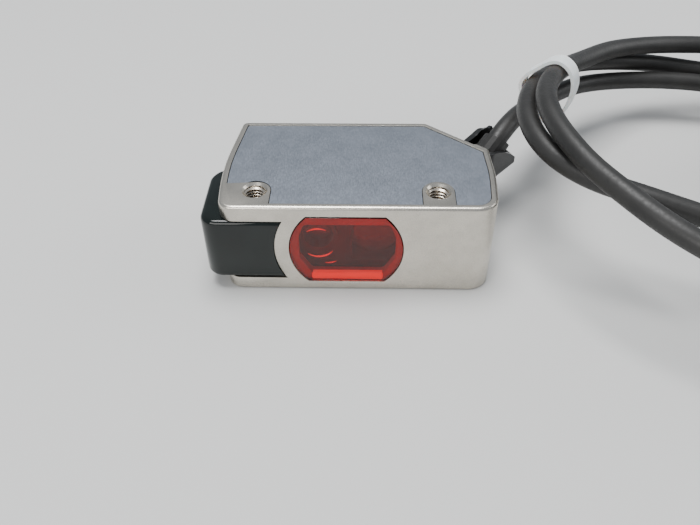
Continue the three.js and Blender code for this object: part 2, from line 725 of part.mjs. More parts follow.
// A loose belt round the two upper strands at the top of the loops' left bend: its outline lies
// across the strands, and each point is [sideways, up] from the belt's middle.
const TIE_THICKNESS = 0.5;
const TIE_WIDTH = 2.5;
const BELT = {
  middle: new THREE.Vector3(32.0, 29.8, 18.85),
  along: new THREE.Vector3(0.45, 0.87, -0.12).normalize(),
  width: 3.4,
  outline: [
    [-3.95, -1.6], [-3.3, -0.2], [-1.9, 1.05], [-0.5, 2.25], [0.9, 2.75], [2.2, 2.3], [3.2, 1.3],
    [3.8, -0.5], [3.6, -3.0], [2.8, -5.4], [1.5, -6.8], [0.0, -6.3], [-1.7, -4.8], [-3.4, -3.3],
  ],
  steps: 60,
};

function beltShape(growth) {
  const ring = new THREE.CatmullRomCurve3(BELT.outline.map(([x, y]) => new THREE.Vector3(x, y, 0)), true);
  const around = ring.getSpacedPoints(BELT.steps).slice(0, BELT.steps);
  return new THREE.Shape(around.map((point, i) => {
    const before = around.at(i - 1);
    const after = around[(i + 1) % BELT.steps];
    const outwards = new THREE.Vector2(before.y - after.y, after.x - before.x).normalize();
    return new THREE.Vector2(point.x, point.y).addScaledVector(outwards, growth);
  }));
}

function makeBelt() {
  const band = cut(
    prism(beltShape(TIE_THICKNESS), -BELT.width / 2, BELT.width / 2),
    prism(beltShape(0), -BELT.width, BELT.width),
  );
  const sideways = new THREE.Vector3(BELT.along.y, -BELT.along.x, 0).normalize();
  const up = new THREE.Vector3().crossVectors(sideways, BELT.along);
  const turn = new THREE.Matrix4().makeBasis(sideways, up, BELT.along.clone().negate());
  return band.applyMatrix4(turn.setPosition(BELT.middle));
}
addCord('loop_tie', makeBelt(), TIE);

// The neat coil: three turns side by side, four layers deep.
const COIL = { x: 83.6, y: 17, low: 0.8, middle: 18.75, columns: 3, layers: 4 };
const COIL_ROUNDING = 1.5;
const halfWidth = CABLE * COIL.columns / 2;
const halfHeight = CABLE * COIL.layers / 2;
const coilZ = COIL.low + halfHeight;
const coilProfile = roundRect(
  COIL.middle - halfWidth,
  COIL.middle + halfWidth,
  -halfHeight,
  halfHeight,
  COIL_ROUNDING,
).getPoints();
const coilRing = clean(new THREE.LatheGeometry([...coilProfile, coilProfile[0]], 36).rotateX(Math.PI / 2));
addCord('cable_coil', coilRing.translate(COIL.x, COIL.y, coilZ), JACKET);

const tieShape = (growth) => roundRect(
  -halfWidth - growth,
  halfWidth + growth,
  -halfHeight - growth,
  halfHeight + growth,
  COIL_ROUNDING + growth,
);
const coilTie = cut(
  prismY(tieShape(GAP + TIE_THICKNESS), -TIE_WIDTH / 2, TIE_WIDTH / 2),
  prismY(tieShape(GAP), -TIE_WIDTH, TIE_WIDTH),
);
addCord('coil_tie', coilTie.translate(COIL.x - COIL.middle, COIL.y, coilZ), TIE);

const TAIL = [[71, -5.7, 1.75], [66.5, -6.2, 1.65], [62, -6.8, 1.6]];
addCord('cable_end', tube(toVectors(TAIL), CABLE / 2, 8, 3), JACKET);

const CORE_RADIUS = 0.45;
Object.entries(CORE_COLOURS).forEach(([name, colour], i) => {
  const spread = i - 1.5;
  const z = i % 2 ? 2.25 : 0.95;
  const route = [
    [61.6, -6.85 + 0.48 * spread, z],
    [59.0, -7.1 + 0.9 * spread, (z + 0.8) / 2],
    [55.5, -7.5 + 1.6 * spread, 0.7],
    [52.0, -7.8 + 2.1 * spread, 0.6],
  ];
  addCord(`core_${name}`, tube(toVectors(route), CORE_RADIUS, 8, 6), finish(colour, 0.5));
});

// ---------------------------------------------------------------- placing
const box = new THREE.Box3();
for (const mesh of sensor.children) {
  if (!cordNames.includes(mesh.name)) box.expandByObject(mesh);
}
sensor.position.set(-(box.min.x + box.max.x) / 2, -(box.min.y + box.max.y) / 2, -box.min.z);

export default sensor;
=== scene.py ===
"""Looks for a compact laser photoelectric sensor: a satin steel housing with a red lens cover, a
smoked indicator, a black cable boot and 2 m of grey cable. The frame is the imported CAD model."""

import math

import bmesh
import bpy
from mathutils import Euler, Matrix, Vector


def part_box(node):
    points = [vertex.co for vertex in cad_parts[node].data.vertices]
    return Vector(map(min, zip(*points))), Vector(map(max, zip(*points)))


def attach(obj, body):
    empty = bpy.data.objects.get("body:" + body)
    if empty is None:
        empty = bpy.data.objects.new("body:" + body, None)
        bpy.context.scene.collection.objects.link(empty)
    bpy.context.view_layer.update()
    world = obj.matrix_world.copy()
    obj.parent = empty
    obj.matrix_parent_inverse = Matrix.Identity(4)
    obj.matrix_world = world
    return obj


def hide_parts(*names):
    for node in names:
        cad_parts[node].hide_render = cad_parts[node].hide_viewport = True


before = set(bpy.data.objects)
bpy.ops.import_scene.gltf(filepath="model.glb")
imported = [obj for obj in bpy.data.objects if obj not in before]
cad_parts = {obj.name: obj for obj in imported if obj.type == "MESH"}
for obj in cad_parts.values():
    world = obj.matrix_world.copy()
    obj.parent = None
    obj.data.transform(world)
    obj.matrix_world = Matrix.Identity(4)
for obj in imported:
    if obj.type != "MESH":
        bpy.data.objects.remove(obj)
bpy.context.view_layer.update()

# ---------------------------------------------------------------- layout
# The CAD layout has X = 0 midway between the mounting holes, Y = 0 at the lens face and Z = 0 on
# the floor. Its origin in the row frame follows from the main board's corner.
MM = 0.001
MAIN_BOARD_CORNER = Vector((-14.6, 12.2, 1.4))
ORIGIN = Vector(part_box("main_board")[0]) - MAIN_BOARD_CORNER * MM


def at(x, y, z):
    """A point of the layout, given in millimetres, in the row frame."""
    return ORIGIN + Vector((x, y, z)) * MM


# ---------------------------------------------------------------- camera
CAMERA_PLACE = (2.933, -77.309, 74.659)
CAMERA_DOWN = 41.893  # degrees below the horizon
CAMERA_LEFT = 1.788  # degrees turned to the left
CAMERA_ROLL = -0.651
SENSOR_WIDTH = 36.0
FOCAL_LENGTH = 37.44


def make_camera():
    data = bpy.data.cameras.new("camera")
    data.sensor_width = SENSOR_WIDTH
    data.lens = FOCAL_LENGTH
    data.clip_start = 0.001
    data.clip_end = 10
    camera = bpy.data.objects.new("camera", data)
    bpy.context.collection.objects.link(camera)
    aim = Euler((math.radians(90 - CAMERA_DOWN), 0, math.radians(CAMERA_LEFT))).to_matrix()
    roll = Matrix.Rotation(math.radians(CAMERA_ROLL), 3, "Z")
    camera.matrix_world = Matrix.Translation(at(*CAMERA_PLACE)) @ (aim @ roll).to_4x4()
    bpy.context.scene.camera = camera


make_camera()

# ---------------------------------------------------------------- cable route
CABLE = 3.15  # cable diameter, mm

# From the strain relief under the raised loops, once round, up over the left bend, round again,
# over the left bend a second time, and across to the top of the neat coil.
LEAD = [
    (22.2, 21.3, 10.4),
    (23.6, 22.8, 12.0),
    (25.2, 24.9, 12.9),
    (27.2, 28.0, 12.8),
    (30.0, 32.4, 11.8),
    (34.4, 38.4, 10.4),
    (41.6, 45.2, 9.2),
    (53.0, 49.0, 8.2),
    (65.0, 49.0, 7.7),
]
FIRST_TURN = [
    (77.0, 46.6, 6.6),
    (89.0, 43.2, 4.6),
    (100.4, 37.2, 2.7),
    (108.2, 27.9, 1.8),
    (110.6, 17.0, 1.6),
    (108.5, 5.4, 2.0),
    (102.2, -4.2, 3.4),
    (92.5, -9.8, 5.6),
    (81.5, -11.2, 8.6),
    (69.0, -8.6, 11.6),
    (58.0, -4.6, 13.3),
    (47.2, -0.2, 14.4),
    (40.0, 2.8, 15.4),
    (34.0, 5.6, 16.0),
    (29.5, 9.3, 16.9),
    (27.3, 13.8, 17.6),
    (26.7, 18.2, 18.0),
    (27.2, 22.6, 18.0),
    (28.6, 27.0, 17.8),
    (30.8, 32.0, 16.9),
    (34.2, 37.8, 15.6),
    (39.6, 43.6, 14.2),
    (47.2, 48.8, 12.1),
    (57.0, 52.6, 9.8),
    (66.1, 53.0, 8.3),
]
SECOND_TURN = [
    (78.0, 52.0, 7.2),
    (90.5, 48.4, 5.4),
    (102.8, 41.2, 3.2),
    (111.8, 30.0, 1.9),
    (114.3, 17.0, 1.6),
    (111.9, 3.6, 1.9),
    (104.0, -7.2, 3.6),
    (93.5, -15.0, 6.4),
    (80.0, -18.6, 9.7),
    (66.0, -18.5, 12.8),
    (54.0, -15.4, 15.0),
    (44.2, -9.8, 16.8),
    (38.9, -5.0, 18.0),
    (35.8, -0.8, 18.7),
    (33.0, 3.6, 19.2),
    (30.7, 8.6, 20.0),
    (29.2, 14.0, 20.6),
    (29.0, 19.2, 20.9),
    (30.3, 24.4, 20.6),
    (32.6, 29.2, 19.8),
    (35.4, 34.2, 18.4),
    (39.6, 39.8, 16.8),
    (45.6, 45.6, 15.8),
    (54.4, 51.0, 14.2),
    (65.8, 54.0, 12.9),
    (77.6, 52.8, 12.7),
    (89.0, 47.0, 12.4),
    (98.2, 38.6, 12.1),
    (103.2, 28.4, 11.9),
]
COIL = {"x": 83.6, "y": 17.0, "low": 0.8, "columns": 3, "layers": 4, "middle": 18.75}
COIL_SHIFT = 0.4  # part of a turn over which the cable moves to its next place
CORNER_BULGE = 0.45  # how far it stands out, in diameters, where it moves down a layer
COIL_TURNS = 11.25
POINTS_PER_TURN = 36
CABLE_END = [
    (77.5, -5.1, 2.0),
    (70.0, -5.8, 1.7),
    (62.0, -6.8, 1.6),
]


def stepped(turns):
    """Whole turns done, moving smoothly to the next one at the end of each turn."""
    whole = math.floor(turns)
    part = max(0.0, (turns - whole - 1 + COIL_SHIFT) / COIL_SHIFT)
    return whole + part * part * (3 - 2 * part)


def coil_points():
    """The neat coil, layer by layer from the top, each layer wound the other way across."""
    columns, layers = COIL["columns"], COIL["layers"]
    places = columns * layers
    outer = COIL["middle"] + CABLE * (columns - 1) / 2
    points = []
    for i in range(round(COIL_TURNS * POINTS_PER_TURN) + 1):
        turns = i / POINTS_PER_TURN
        steps = min(stepped(turns), places - 1)
        layer = min(math.floor(steps / columns), layers - 1)
        across = min(steps - layer * columns, columns - 1)
        part = steps - layer * columns - across
        bulge = CORNER_BULGE * 4 * part * (1 - part)
        column = across + bulge if layer % 2 == 0 else columns - 1 - across - bulge
        radius = outer - CABLE * column
        angle = -2 * math.pi * turns
        z = COIL["low"] + CABLE * (layers - 0.5 - layer - part)
        points.append((COIL["x"] + radius * math.cos(angle), COIL["y"] + radius * math.sin(angle), z))
    return points


def smooth_line(points, spacing):
    """Points about spacing apart on a centripetal Catmull-Rom curve through the given ones."""
    points = [Vector(p) for p in points]
    padded = [2 * points[0] - points[1], *points, 2 * points[-1] - points[-2]]
    line = []
    for a, b, c, d in zip(padded, padded[1:], padded[2:], padded[3:]):
        ta = 0.0
        tb = ta + math.sqrt((b - a).length)
        tc = tb + math.sqrt((c - b).length)
        td = tc + math.sqrt((d - c).length)
        count = max(1, round((c - b).length / spacing))
        for i in range(count):
            t = tb + (tc - tb) * i / count
            ab = a.lerp(b, (t - ta) / (tb - ta))
            bc = b.lerp(c, (t - tb) / (tc - tb))
            cd = c.lerp(d, (t - tc) / (td - tc))
            early = ab.lerp(bc, (t - ta) / (tc - ta))
            late = bc.lerp(cd, (t - tb) / (td - tb))
            line.append(early.lerp(late, (t - tb) / (tc - tb)))
    line.append(points[-1])
    return line


def relaxed(line, rounds):
    """The same line with its small kinks evened out."""
    for _ in range(rounds):
        line = [line[0], *((a + 2 * b + c) / 4 for a, b, c in zip(line, line[1:], line[2:])), line[-1]]
    return line


def cable_line():
    loops = smooth_line(LEAD + FIRST_TURN + SECOND_TURN + coil_points()[:2], 1.2)
    rest = smooth_line(coil_points()[1:] + CABLE_END, 2.0)
    return relaxed(loops[:-1] + rest, 6)


# ---------------------------------------------------------------- materials
def node_material(name, color, roughness, metallic=0.0, **sockets):
    """A Principled material and its tree, shader and object coordinates."""
    material = bpy.data.materials.new(name)
    material.use_nodes = True
    tree = material.node_tree
    shader = tree.nodes["Principled BSDF"]
    shader.inputs["Base Color"].default_value = (*color, 1)
    shader.inputs["Roughness"].default_value = roughness
    shader.inputs["Metallic"].default_value = metallic
    for socket, value in sockets.items():
        shader.inputs[socket.replace("_", " ")].default_value = value
    coordinates = tree.nodes.new("ShaderNodeTexCoord")
    return material, tree, shader, coordinates.outputs["Object"]


def noise(tree, coordinates, scale, detail=3.0, stretch=(1, 1, 1)):
    """Noise with a scale in cells per metre, stretched along some axes."""
    mapping = tree.nodes.new("ShaderNodeMapping")
    mapping.inputs["Scale"].default_value = stretch
    texture = tree.nodes.new("ShaderNodeTexNoise")
    texture.inputs["Scale"].default_value = scale
    texture.inputs["Detail"].default_value = detail
    tree.links.new(coordinates, mapping.inputs["Vector"])
    tree.links.new(mapping.outputs["Vector"], texture.inputs["Vector"])
    return texture.outputs["Fac"]


def ramp(tree, value, low, high):
    """Colours between two ends, chosen by a value that is mostly between 0.35 and 0.65."""
    node = tree.nodes.new("ShaderNodeValToRGB")
    node.color_ramp.elements[0].position = 0.35
    node.color_ramp.elements[1].position = 0.65
    node.color_ramp.elements[0].color = (*low, 1)
    node.color_ramp.elements[1].color = (*high, 1)
    tree.links.new(value, node.inputs["Fac"])
    return node.outputs["Color"]


def spread(tree, value, low, high):
    """A noise value, which is mostly between 0.3 and 0.7, moved into a range of numbers."""
    node = tree.nodes.new("ShaderNodeMapRange")
    node.inputs["From Min"].default_value = 0.3
    node.inputs["From Max"].default_value = 0.7
    node.inputs["To Min"].default_value = low
    node.inputs["To Max"].default_value = high
    tree.links.new(value, node.inputs["Value"])
    return node.outputs["Result"]


def bump(tree, shader, height, distance):
    """Raises the surface by a height value times a distance in millimetres."""
    node = tree.nodes.new("ShaderNodeBump")
    node.inputs["Strength"].default_value = 1.0
    node.inputs["Distance"].default_value = distance * MM
    tree.links.new(height, node.inputs["Height"])
    tree.links.new(node.outputs["Normal"], shader.inputs["Normal"])


def shade(color, factor):
    return tuple(channel * factor for channel in color)


def surface(name, color, roughness, metallic=0.0, vary=0.12, cells=1500, grain=4000, depth=0.006,
            rough_vary=0.05, stretch=(1, 1, 1), **sockets):
    """A finish whose colour changes slowly by a part vary, with fine grain in its gloss and surface.

    cells and grain are cells per metre, depth is millimetres, and further arguments name sockets.
    """
    material, tree, shader, coordinates = node_material(name, color, roughness, metallic, **sockets)
    slow = noise(tree, coordinates, cells)
    tint = ramp(tree, slow, shade(color, 1 - vary), shade(color, 1 + vary))
    tree.links.new(tint, shader.inputs["Base Color"])
    fine = noise(tree, coordinates, grain, 2.0, stretch)
    gloss = spread(tree, fine, roughness - rough_vary, roughness + rough_vary)
    tree.links.new(gloss, shader.inputs["Roughness"])
    bump(tree, shader, fine, depth)
    return material


STEEL = surface("steel", (0.60, 0.565, 0.50), 0.30, 1.0, vary=0.05, cells=500, grain=9000, depth=0.0035)
PLATE_STEEL = surface("plate_steel", (0.42, 0.455, 0.515), 0.34, 1.0, vary=0.06, cells=350, grain=7000,
                      depth=0.004, stretch=(1, 0.25, 1))
THREAD_STEEL = surface("thread_steel", (0.62, 0.56, 0.48), 0.24, 1.0, vary=0.1, cells=3000)
RUBY = surface("ruby", (0.90, 0.09, 0.045), 0.06, vary=0.05, cells=300, depth=0.0006, rough_vary=0.02,
               Transmission_Weight=1.0, IOR=1.49, Specular_IOR_Level=0.3)
# Its faint glow is painted light, for light scattered in the thick red plastic of the rim.
RUBY_SOLID = surface("ruby_solid", (0.45, 0.022, 0.008), 0.3, vary=0.12, cells=700, depth=0.001,
                     rough_vary=0.04, Emission_Color=(0.7, 0.03, 0.01, 1), Emission_Strength=0.02)
# A red that glows though it is no lamp: painted light, for the bright ledge and the highlight lines
# behind the lens.
RUBY_PAINTED_GLOW = surface("ruby_painted_glow", (0.85, 0.05, 0.02), 0.3, vary=0.15, cells=900, depth=0.001,
                   rough_vary=0.04, stretch=(0.3, 1, 1), Emission_Color=(1.0, 0.06, 0.02, 1),
                   Emission_Strength=0.7)
SMOKED = surface("smoked", (0.004, 0.0075, 0.0065), 0.07, vary=0.25, cells=260, depth=0.0012,
                 rough_vary=0.02, Specular_IOR_Level=0.45)
MILKY = surface("milky", (0.72, 0.74, 0.68), 0.4, vary=0.04, Subsurface_Weight=0.3)
BOARD = surface("board", (0.012, 0.10, 0.04), 0.35, vary=0.2, cells=900, depth=0.004, Coat_Weight=0.5)
LAMP = surface("lamp", (0.80, 0.78, 0.52), 0.3, vary=0.05)
BLACK = surface("black_plastic", (0.013, 0.013, 0.014), 0.34, vary=0.2, cells=900, grain=6000,
                depth=0.006, Specular_IOR_Level=0.6)
BOOT_BLACK = surface("boot_black", (0.010, 0.0105, 0.011), 0.36, vary=0.25, cells=700, grain=3500,
                     depth=0.004, Specular_IOR_Level=0.35)
SATIN_BLACK = surface("satin_black", (0.010, 0.010, 0.011), 0.42, vary=0.2, grain=5000, depth=0.006)
CLEAR = surface("clear", (0.92, 0.95, 0.96), 0.04, vary=0.01, depth=0.0004, rough_vary=0.01,
                Transmission_Weight=1.0, IOR=1.5)
KEY_GREY = surface("key_grey", (0.20, 0.215, 0.23), 0.5, vary=0.06, grain=5000, depth=0.008)
RUBBER = surface("rubber", (0.013, 0.0125, 0.012), 0.5, vary=0.2, grain=4000, depth=0.010)
BRASS = surface("brass", (0.58, 0.40, 0.15), 0.28, 1.0, vary=0.08)
JACKET = surface("jacket", (0.0195, 0.0190, 0.0180), 0.48, vary=0.22, cells=240, grain=2600, depth=0.012,
                 rough_vary=0.07, Specular_IOR_Level=0.45)
TIE_WHITE = surface("tie_white", (0.90, 0.905, 0.88), 0.36, vary=0.03, grain=2500, depth=0.008,
                    Subsurface_Weight=0.15)
CORES = {
    "core_brown": surface("core_brown", (0.13, 0.05, 0.025), 0.4, vary=0.12, grain=5000),
    "core_blue": surface("core_blue", (0.03, 0.12, 0.42), 0.4, vary=0.1, grain=5000),
    "core_black": surface("core_black", (0.014, 0.014, 0.014), 0.4, vary=0.2, grain=5000),
    "core_white": surface("core_white", (0.76, 0.75, 0.71), 0.4, vary=0.04, grain=5000),
}


# ---------------------------------------------------------------- building pieces
def new_piece(name, data, material):
    """A visible piece of the sensor body, from a mesh or a curve."""
    piece = bpy.data.objects.new(name, data)
    bpy.context.collection.objects.link(piece)
    data.materials.clear()
    data.materials.append(material)
    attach(piece, "sensor")
    return piece


def mesh_of(name, build):
    """A mesh in the row frame from bmesh code in layout millimetres."""
    shape = bmesh.new()
    build(shape)
    bmesh.ops.recalc_face_normals(shape, faces=shape.faces)
    for vertex in shape.verts:
        vertex.co = at(*vertex.co)
    mesh = bpy.data.meshes.new(name)
    shape.to_mesh(mesh)
    shape.free()
    return mesh


def smooth(mesh, angle=30):
    mesh.polygons.foreach_set("use_smooth", [True] * len(mesh.polygons))
    mesh.set_sharp_from_angle(angle=math.radians(angle))


FILLET_STEPS = 14
LEAST_RADIUS = 0.2  # of a corner that is moved in
EASE_STEPS = 5
HOLE_SIDES = 64
ARC_SIDES = 96


def filleted(corners):
    """Points of an outline through the corners (x, y, radius), each rounded."""
    points = []
    for i, (x, y, radius) in enumerate(corners):
        here = Vector((x, y))
        before = (Vector(corners[i - 1][:2]) - here).normalized()
        after = (Vector(corners[(i + 1) % len(corners)][:2]) - here).normalized()
        half = math.acos(max(-1, min(1, before.dot(after)))) / 2
        reach = radius / math.tan(half)
        start = here + before * reach
        end = here + after * reach
        middle = here + (before + after).normalized() * (radius / math.sin(half))
        first = math.atan2(start.y - middle.y, start.x - middle.x)
        turn = math.atan2(end.y - middle.y, end.x - middle.x) - first
        turn = (turn + math.pi) % (2 * math.pi) - math.pi
        for k in range(FILLET_STEPS + 1):
            angle = first + turn * k / FILLET_STEPS
            points.append((middle.x + radius * math.cos(angle), middle.y + radius * math.sin(angle)))
    return points


def moved_in(corners, distance):
    """The same corners moved inwards, for corners that run clockwise."""
    lines = []
    for i, (x, y, _) in enumerate(corners):
        start = Vector((x, y))
        along = (Vector(corners[(i + 1) % len(corners)][:2]) - start).normalized()
        lines.append((start + Vector((along.y, -along.x)) * distance, along))
    result = []
    for i, (point, along) in enumerate(lines):
        other, other_along = lines[i - 1]
        cross = other_along.x * along.y - other_along.y * along.x
        gap = point - other
        reach = (gap.x * along.y - gap.y * along.x) / cross
        corner = other + other_along * reach
        result.append((corner.x, corner.y, max(corners[i][2] - distance, LEAST_RADIUS)))
    return result


def box_corners(x0, x1, y0, y1, radius):
    return [(x0, y0, radius), (x0, y1, radius), (x1, y1, radius), (x1, y0, radius)]


def loft(shape, rings):
    """A closed skin through rings of 3-D points."""
    rows = [[shape.verts.new(point) for point in ring] for ring in rings]
    count = len(rows[0])
    for low, high in zip(rows, rows[1:]):
        for i in range(count):
            j = (i + 1) % count
            shape.faces.new((low[i], low[j], high[j], high[i]))
    shape.faces.new(rows[0][::-1])
    shape.faces.new(rows[-1])


def eased_ends(radius):
    """Pairs (moved in, risen) along a quarter-round edge, from the end face outwards."""
    angles = [math.pi / 2 * k / EASE_STEPS for k in range(EASE_STEPS + 1)]
    return [(radius * (1 - math.sin(a)), radius * (1 - math.cos(a))) for a in angles]


def upright(corners):
    """Rings for a standing outline: ring_at(moved in, height) gives each one."""
    def ring_at(inwards, z):
        return [(x, y, z) for x, y in filleted(moved_in(corners, inwards))]
    return ring_at


def facing(corners):
    """The same for an outline drawn in X and Z, with its rings one behind the other along Y."""
    def ring_at(inwards, y):
        return [(x, y, z) for x, z in filleted(moved_in(corners, inwards))]
    return ring_at


def circle_ring(x, y, radius):
    """Rings round a vertical axis, which aren't moved in."""
    def ring_at(_, z):
        angles = [2 * math.pi * i / HOLE_SIDES for i in range(HOLE_SIDES)]
        return [(x + radius * math.cos(a), y + radius * math.sin(a), z) for a in angles]
    return ring_at


def facing_circle(x, z, radius):
    """Rings round an axis along Y, which aren't moved in."""
    def ring_at(_, y):
        angles = [2 * math.pi * i / ARC_SIDES for i in range(ARC_SIDES)]
        return [(x + radius * math.cos(a), y, z + radius * math.sin(a)) for a in angles]
    return ring_at


def prism(ring_at, low, high):
    return mesh_of("tool", lambda shape: loft(shape, [ring_at(0, low), ring_at(0, high)]))


def eased(ring_at, low, high, radius):
    """A prism whose two end edges are rounded."""
    ends = eased_ends(radius)
    rings = [ring_at(inwards, low + rise) for inwards, rise in ends]
    rings += [ring_at(inwards, high - rise) for inwards, rise in reversed(ends)]
    return mesh_of("body", lambda shape: loft(shape, rings))


def cone(x, y, low, high, low_radius, high_radius):
    rings = [circle_ring(x, y, low_radius)(0, low), circle_ring(x, y, high_radius)(0, high)]
    return mesh_of("cone", lambda shape: loft(shape, rings))


def evaluated(holder):
    """The mesh of an object with its modifiers applied."""
    bpy.context.view_layer.update()
    return bpy.data.meshes.new_from_object(holder.evaluated_get(bpy.context.evaluated_depsgraph_get()))


def combine(base, tool, operation):
    """The base mesh cut by, joined with or limited to the tool mesh."""
    holder = bpy.data.objects.new("base", base)
    cutter = bpy.data.objects.new("cutter", tool)
    for item in (holder, cutter):
        bpy.context.collection.objects.link(item)
    modifier = holder.modifiers.new("combine", "BOOLEAN")
    modifier.object = cutter
    modifier.operation = operation
    modifier.solver = "EXACT"
    result = evaluated(holder)
    for item in (holder, cutter):
        bpy.data.objects.remove(item)
    return result


def cut(base, *tools):
    for tool in tools:
        base = combine(base, tool, "DIFFERENCE")
    return base


def join(base, *others):
    for other in others:
        base = combine(base, other, "UNION")
    return base


def rounded_edges(item, width, segments, angle):
    """Adds rounding, in millimetres, to the edges of an object that turn by more than an angle."""
    modifier = item.modifiers.new("edges", "BEVEL")
    modifier.width = width * MM
    modifier.segments = segments
    modifier.limit_method = "ANGLE"
    modifier.angle_limit = math.radians(angle)
    return modifier


def finish_edges(mesh, name, width, angle=40, segments=3):
    """Rounds the sharp edges of a cut mesh and shades it."""
    holder = bpy.data.objects.new(name, mesh)
    bpy.context.collection.objects.link(holder)
    rounded_edges(holder, width, segments, angle)
    result = evaluated(holder)
    bpy.data.objects.remove(holder)
    smooth(result, 32)
    result.name = name
    return result


def dress(name, material, width=0.0, segments=3, angle=35):
    """Gives a CAD node its finish, and edges that are shown rounded if a width is named."""
    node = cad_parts[name]
    node.data.materials.clear()
    node.data.materials.append(material)
    if width:
        rounded_edges(node, width, segments, angle).harden_normals = True
    return node


# ---------------------------------------------------------------- housing
HEIGHT = 15.0
DEPTH = 22.0
HOLES = (-12.7, 12.7)
HOLE_Y = 4.0
BOSS_RADIUS = 2.2
RIM = 0.95
WALL = 1.6
PLATE_LEVEL = 0.75  # the ledge that each side plate lies on, below the rim
EDGE = 0.5
WINDOW_Z = 7.55
WINDOW_RADIUS = 8.1
WINDOW_FLAT = 5.95
WINDOW_STEPS = 28
DOME_LOW = 2.2
DOME_HIGH = 12.6
DOME_BACK = 13.2
DOME_CLEARANCE = 10.1
BODY = [
    (-17.35, 0, 2.2),
    (-18.1, 9.5, 50),
    (-16.6, DEPTH, 0.9),
    (11.9, DEPTH, 1.2),
    (20.85, 14.45, 1.0),
    (21.2, 8.0, 40),
    (20.6, 0, 3.0),
]
CHAMFER_MIDDLE = Vector((16.35, 18.2, 0))
CHAMFER_TURN = math.atan2(8.95, 7.55) - math.pi / 2


def at_chamfer(mesh):
    """Moves a mesh built in the chamfer's own frame, X along it and Y outwards, into place."""
    turn = Matrix.Translation(CHAMFER_MIDDLE * MM) @ Matrix.Rotation(CHAMFER_TURN, 4, "Z")
    mesh.transform(Matrix.Translation(ORIGIN) @ turn @ Matrix.Translation(-ORIGIN))
    return mesh


def window_ring(x, z):
    """Rings of the round window with its flat top and bottom, moved in by a distance."""
    def ring_at(inwards, y):
        radius = WINDOW_RADIUS - inwards
        lean = math.asin((WINDOW_FLAT - inwards) / radius)
        points = []
        for middle in (0.0, math.pi):
            for k in range(WINDOW_STEPS + 1):
                angle = middle - lean + 2 * lean * k / WINDOW_STEPS
                points.append((x + radius * math.cos(angle), y, z + radius * math.sin(angle)))
        return points
    return ring_at


def boss_outline(x):
    """The flush land round a mounting hole: an arch open to the front, or to the corner on the left."""
    left, right = x - BOSS_RADIUS, x + BOSS_RADIUS
    if x > 0:
        back = HOLE_Y + BOSS_RADIUS
        return [(left, -1, 0.1), (left, back, 2.15), (right, back, 2.15), (right, -1, 0.1)]
    back = HOLE_Y + 1.5
    return [(x - 5, -1, 0.1), (x - 5, back, 0.1), (right, back + 0.5, 1.9), (right, -1, 0.1)]


def make_housing():
    """The hollow housing with its raised pad, boss lands, window, openings and mounting holes."""
    pad = eased(upright(box_corners(2.7, 5.6, -0.8, 0.9, 0.6)), 1.2, HEIGHT - 0.5, 0.35)
    shell = join(eased(upright(BODY), 0, HEIGHT, EDGE), at_chamfer(pad))
    space = join(
        prism(upright(moved_in(BODY, WALL)), -1, HEIGHT + 1),
        prism(upright(moved_in(BODY, RIM)), HEIGHT - PLATE_LEVEL, HEIGHT + 2),
        prism(upright(moved_in(BODY, RIM)), -2, PLATE_LEVEL),
    )
    space = cut(space, *(prism(upright(boss_outline(x)), -3, HEIGHT + 3) for x in HOLES))
    display = prism(facing(box_corners(-12.2, 8.6, 2.4, 12.6, 0.35)), DEPTH - 4, DEPTH + 1)
    cable_hole = at_chamfer(prism(upright(box_corners(-0.7, 4.5, -4, 3, 0.3)), 4.6, 10.6))
    window = prism(window_ring(0, WINDOW_Z), -1, 3)
    shell = cut(shell, space, window, *dome_openings(), cable_hole, display)
    for x in HOLES:
        shell = cut(
            shell,
            prism(circle_ring(x, HOLE_Y, 1.5), -1, HEIGHT + 1),
            cone(x, HOLE_Y, -0.05, 0.3, 1.85, 1.5),
            cone(x, HOLE_Y, HEIGHT - 0.3, HEIGHT + 0.05, 1.5, 1.85),
        )
    return shell


def dome_openings():
    """The two spaces that the indicator dome fills: in the front wall and in the left side."""
    front = prism(facing(box_corners(-22, -8, DOME_LOW, DOME_HIGH, 0.1)), -2, WALL + 0.05)
    front = cut(front, prism(facing_circle(0, WINDOW_Z, DOME_CLEARANCE), -3, 5))
    side = prism(upright(box_corners(-22, -15.6, -2, DOME_BACK, 0.1)), DOME_LOW, DOME_HIGH)
    return front, side


housing_mesh = finish_edges(make_housing(), "housing_fine", 0.08, angle=50, segments=2)
housing = new_piece("housing_fine", housing_mesh, STEEL)
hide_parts("housing")

THREAD_PITCH = 0.5
THREAD_PEAK = 1.24
THREAD_ROOT = 1.56  # just inside the wall of the hole
THREAD_START = 0.35
THREAD_RIDGE = ((THREAD_ROOT, 0.0), (THREAD_PEAK, 0.2), (THREAD_PEAK, 0.26), (THREAD_ROOT, 0.46))
THREAD_SIDES = 40


def make_thread(shape, x):
    """A helical ridge up the wall of a mounting hole."""
    turns = int((HEIGHT - 0.9) / THREAD_PITCH)
    rings = []
    for i in range(turns * THREAD_SIDES + 1):
        angle = 2 * math.pi * i / THREAD_SIDES
        z = THREAD_START + THREAD_PITCH * i / THREAD_SIDES
        cos, sin = math.cos(angle), math.sin(angle)
        rings.append([(x + r * cos, HOLE_Y + r * sin, z + rise) for r, rise in THREAD_RIDGE])
    loft(shape, rings)


for side, x in zip(("left", "right"), HOLES):
    mesh = mesh_of(f"hole_thread_{side}", lambda shape: make_thread(shape, x))
    smooth(mesh, 40)
    new_piece(f"hole_thread_{side}", mesh, THREAD_STEEL)

dress("upper_side_plate", PLATE_STEEL, 0.06, 2)
dress("lower_side_plate", PLATE_STEEL, 0.06, 2)


# ---------------------------------------------------------------- lens cover
def with_room(mesh, across, up):
    """The mesh drawn in towards the window's axis, so that it has room in the window."""
    middle = Matrix.Translation(at(0, 0, WINDOW_Z))
    mesh.transform(middle @ Matrix.Diagonal((across, 1, up, 1)) @ middle.inverted())
    return mesh


